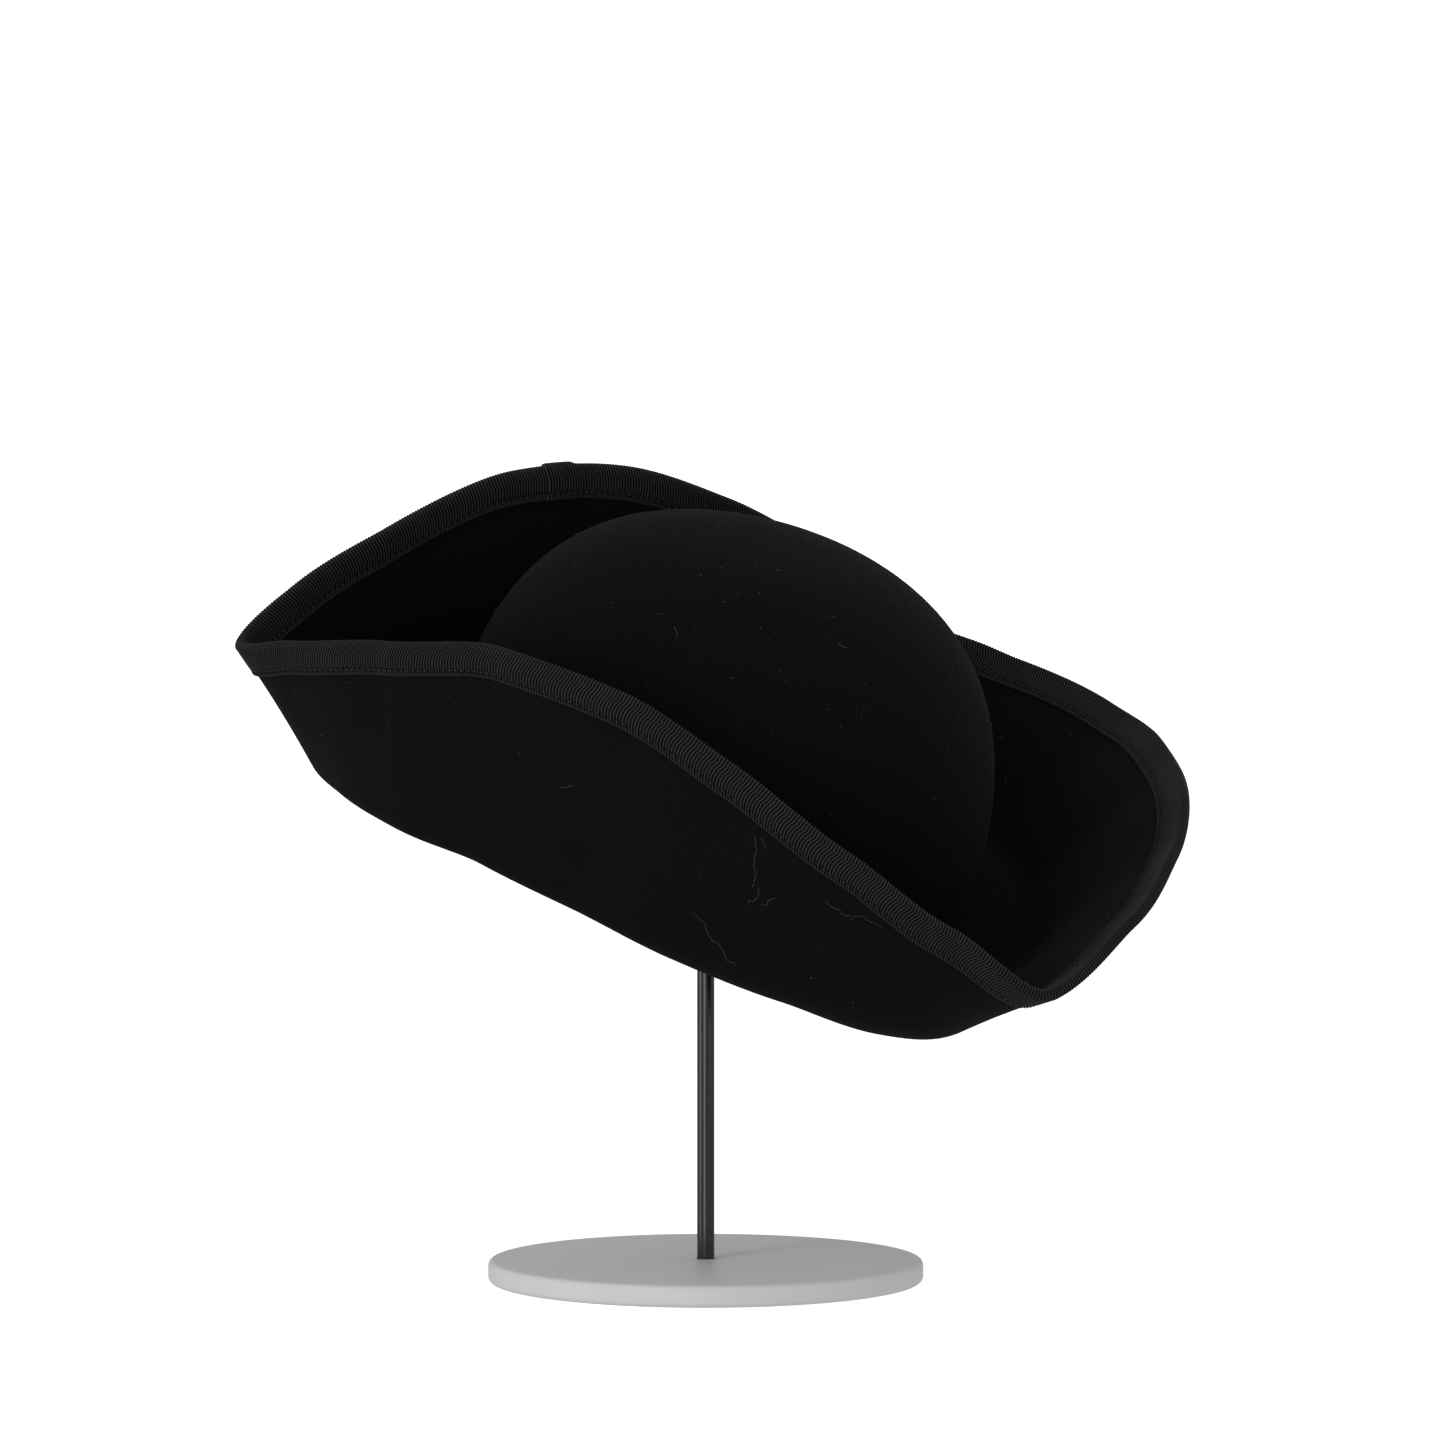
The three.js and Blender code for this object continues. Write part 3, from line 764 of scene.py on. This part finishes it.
def fibre(row, radius, lift):
    """One stray fibre, laid on the felt step by step."""
    steps = max(3, round(row["length"] * MM / FIBRE_STEP))
    azimuth, place = float(row["at"]), float(row["place"])
    path, ups = [], []
    for i in range(steps + 1):
        share = i / steps
        here, normal = felt_point(row["face"], azimuth, place)
        path.append(here + normal * (radius + lift * math.sin(math.pi * share)))
        ups.append(normal)
        swings = 2 * math.pi * share * row["length"] / 10
        wave = row["swing"] * (0.6 * math.sin(swings) + 0.4 * math.sin(2.3 * swings + row["at"]))
        heading = math.radians(row["heading"] + row["bend"] * share + wave)
        stride = row["length"] * MM / steps
        round_step, _ = felt_point(row["face"], azimuth + TRIAL_MOVE, place)
        out_step, _ = felt_point(row["face"], azimuth, place + TRIAL_MOVE)
        sideways = max(np.linalg.norm(round_step - here), LEAST_MOVE)
        outward = max(np.linalg.norm(out_step - here), LEAST_MOVE)
        azimuth += stride * math.cos(heading) * TRIAL_MOVE / sideways
        place += stride * math.sin(heading) * TRIAL_MOVE / outward
        least, most = CROWN_LINT if row["face"] == "crown" else BRIM_LINT
        place = min(max(place, least), most)
    up = place_hat(np.array(ups)) - place_hat(np.zeros(3))
    return tube(place_hat(np.array(path)), radius, FIBRE_SIDES, up)


def lint_piece():
    """Stray wool fibres and specks of dust on the felt."""
    parts = [fibre(row, FIBRE_RADIUS, FIBRE_LIFT) for row in STRAY_FIBRES]
    rng = np.random.default_rng(LINT_SEED)
    for _ in range(SPECKS):
        face = rng.choice(["crown", "under", "upper"], p=[0.5, 0.3, 0.2])
        row = {
            "face": face,
            "at": rng.uniform(-180, 180),
            "place": rng.uniform(20, 84) if face == "crown" else rng.uniform(45, 90),
            "heading": rng.uniform(0, 360),
            "length": 0.4 + 1.8 * rng.random() ** 4,
            "bend": rng.uniform(-120, 120),
            "swing": 0,
        }
        parts.append(fibre(row, rng.uniform(*SPECK_RADII) * MM, SPECK_LIFT))
    return joined("hat_lint", parts, lint_material())


# Stand


def turned(name, profile, material):
    """A body turned about the upright axis from its profile of radius and height."""
    points, faces = [], []
    count = len(profile)
    for j in range(TURNED_SIDES):
        angle = 2 * math.pi * j / TURNED_SIDES
        points += [(r * math.cos(angle), r * math.sin(angle), z) for r, z in profile]
    for j in range(TURNED_SIDES):
        a, b = j * count, (j + 1) % TURNED_SIDES * count
        faces += [(a + k, b + k, b + k + 1, a + k + 1) for k in range(count - 1)]
    faces.append([j * count for j in reversed(range(TURNED_SIDES))])
    faces.append([j * count + count - 1 for j in range(TURNED_SIDES)])
    piece = add_mesh(name, points, faces, material)
    piece.data.set_sharp_from_angle(angle=math.radians(SHARP_ANGLE))
    return piece


def rounded(radius, height, edge, start, end):
    """Points of a rounded corner of a profile, between two directions in degrees."""
    angles = [math.radians(start + (end - start) * i / EDGE_STEPS) for i in range(EDGE_STEPS + 1)]
    return [(radius + edge * math.cos(a), height + edge * math.sin(a)) for a in angles]


def stand_pieces():
    _, base_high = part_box("stand_base")
    rod_low, rod_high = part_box("stand_rod")
    rest_low, rest_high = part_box("stand_rest")
    rod_radius = (rod_high.x - rod_low.x) / 2
    socket = rod_radius + CLEARANCE
    radius, top = base_high.x, base_high.z
    base = turned(
        "stand_disc",
        [
            (AXIS_RADIUS, top - SOCKET_DEPTH),
            (socket, top - SOCKET_DEPTH),
            *rounded(socket + SOCKET_LIP, top - SOCKET_LIP, SOCKET_LIP, 180, 90),
            *rounded(radius - BASE_EDGE, top - BASE_EDGE, BASE_EDGE, 90, 0),
            *rounded(radius - BASE_EDGE, BASE_EDGE, BASE_EDGE, 0, -90),
            (AXIS_RADIUS, 0),
        ][::-1],
        paint_material(),
    )
    rod = turned(
        "stand_stem",
        [
            (rod_radius - ROD_CHAMFER, rod_low.z),
            (rod_radius, rod_low.z + ROD_CHAMFER),
            (rod_radius, rod_high.z - ROD_CHAMFER),
            (rod_radius - ROD_CHAMFER, rod_high.z),
        ],
        rod_material(),
    )
    rest_radius = rest_high.x
    low = rest_low.z

    def rest_top(distance):
        def drop(reach):
            return REST_CURVE - math.sqrt(REST_CURVE**2 - reach**2)

        return low + REST_RIM + drop(rest_radius) - drop(distance)

    reaches = [rest_radius * (1 - i / DOME_STEPS) for i in range(1, DOME_STEPS)]
    dome = [(reach, rest_top(reach)) for reach in reaches]
    rest = turned(
        "crown_rest",
        [
            (AXIS_RADIUS, low + SOCKET_DEPTH),
            (socket, low + SOCKET_DEPTH),
            (socket, low),
            *rounded(rest_radius - REST_EDGE, low + REST_EDGE, REST_EDGE, -90, 0),
            (rest_radius, low + REST_RIM),
            *dome,
            (AXIS_RADIUS, rest_top(0)),
        ],
        rest_material(),
    )
    return base, rod, rest


# Floor, light and camera

VIEW_DISTANCE = 1.65
VIEW_TURN = 84.92  # degrees of the camera's place round from -Y toward +X
AIM = Vector((-0.00955, 0.00612, 0.20612))
SENSOR_WIDTH = 36
FOCAL_LENGTH = 4455 * SENSOR_WIDTH / 1440  # 4455 pixels in a picture 1440 pixels wide
FLOOR_GLOW = 0.78
ROOM_LIGHT = 0.45
STAGE_RADIUS = 12
STAGE_SIDES = 96
STAGE_RINGS = 24

# Round soft lights. aim: height of the point on the rod's axis that a light faces.
# size: diameter. power: watts.
LIGHTS = [
    {"name": "key", "place": (1.2, -1.3, 1.4), "aim": 0.2, "size": 0.7, "power": 6},
    {"name": "front_low", "place": (1.5, -0.6, 0.05), "aim": 0.2, "size": 0.7, "power": 2.4},
    {"name": "left_low", "place": (0.3, -1.8, 0.1), "aim": 0.2, "size": 0.7, "power": 2.8},
    {"name": "back_right", "place": (-0.8, 1.5, 0.9), "aim": 0.2, "size": 0.8, "power": 1.2},
    {"name": "low_right", "place": (0.9, 1.35, 0.12), "aim": 0.12, "size": 0.16, "power": 0.8},
]


def unlit(piece):
    """Keeps a part of the stage in view without its light or its shadow falling on the hat."""
    piece.visible_diffuse = False
    piece.visible_glossy = False
    piece.visible_transmission = False
    piece.visible_shadow = False


def white_material(name, glow):
    m = Nodes(name)
    m.link(m.mix(m.noise(3), (0.88, 0.88, 0.88), (0.9, 0.9, 0.9)), m.shader.inputs["Base Color"])
    m.shader.inputs["Roughness"].default_value = 0.9
    m.shader.inputs["Specular IOR Level"].default_value = 0.0
    m.shader.inputs["Emission Color"].default_value = (1, 1, 1, 1)
    m.shader.inputs["Emission Strength"].default_value = glow
    return m.material


def stage():
    """A white floor and a white dome round it, bright enough that no horizon shows."""
    size, sides, rings = STAGE_RADIUS, STAGE_SIDES, STAGE_RINGS
    angles = [2 * math.pi * i / sides for i in range(sides)]
    rim = [(size * math.cos(angle), size * math.sin(angle)) for angle in angles]
    white = white_material("floor_white", FLOOR_GLOW)
    unlit(add_mesh("floor", [(x, y, 0) for x, y in rim], [tuple(range(sides))], white, soft=False))
    points, faces = [], []
    for k in range(rings):
        angle = math.pi / 2 * k / rings
        points += [(x * math.cos(angle), y * math.cos(angle), size * math.sin(angle)) for x, y in rim]
    for k in range(rings - 1):
        for i in range(sides):
            n = (i + 1) % sides
            faces.append((k * sides + i, (k + 1) * sides + i, (k + 1) * sides + n, k * sides + n))
    faces.append(tuple((rings - 1) * sides + i for i in reversed(range(sides))))
    unlit(add_mesh("backdrop", points, faces, white_material("backdrop_white", 1.0)))


def light(name, place, aim, size, power):
    data = bpy.data.lights.new(name, "AREA")
    data.shape = "DISK"
    data.size = size
    data.energy = power
    lamp = bpy.data.objects.new(name, data)
    lamp.location = place
    lamp.rotation_euler = (Vector(aim) - Vector(place)).to_track_quat("-Z", "Y").to_euler()
    bpy.context.scene.collection.objects.link(lamp)


def lights():
    world = bpy.data.worlds.new("studio")
    world.use_nodes = True
    background = world.node_tree.nodes["Background"]
    background.inputs["Color"].default_value = (1, 1, 1, 1)
    background.inputs["Strength"].default_value = ROOM_LIGHT
    bpy.context.scene.world = world
    bpy.context.scene.view_settings.view_transform = "Standard"
    for row in LIGHTS:
        light(row["name"], row["place"], (0, 0, row["aim"]), row["size"], row["power"])


def camera():
    turn = math.radians(VIEW_TURN)
    away = Vector((math.sin(turn), -math.cos(turn), 0))
    data = bpy.data.cameras.new("camera")
    data.sensor_width = SENSOR_WIDTH
    data.lens = FOCAL_LENGTH
    data.clip_end = 5 * STAGE_RADIUS
    eye = bpy.data.objects.new("camera", data)
    eye.location = AIM + away * VIEW_DISTANCE
    eye.rotation_euler = (-away).to_track_quat("-Z", "Y").to_euler()
    bpy.context.scene.collection.objects.link(eye)
    bpy.context.scene.camera = eye


ribbon = Ribbon()
for piece, node, slot in (
    (felt_piece(), "felt_body", "felt"),
    (binding_piece(ribbon), "edge_binding", "ribbon"),
    (stitch_piece(ribbon), None, "ribbon"),
    (lint_piece(), None, "felt"),
):
    if node:
        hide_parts(node)
    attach(piece, "root")

disc, stem, rest = stand_pieces()
for piece, node, slot in (
    (disc, "stand_base", "base_paint"),
    (stem, "stand_rod", "rod_metal"),
    (rest, "stand_rest", "rest_plastic"),
):
    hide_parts(node)
    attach(piece, "root")

stage()
lights()
camera()
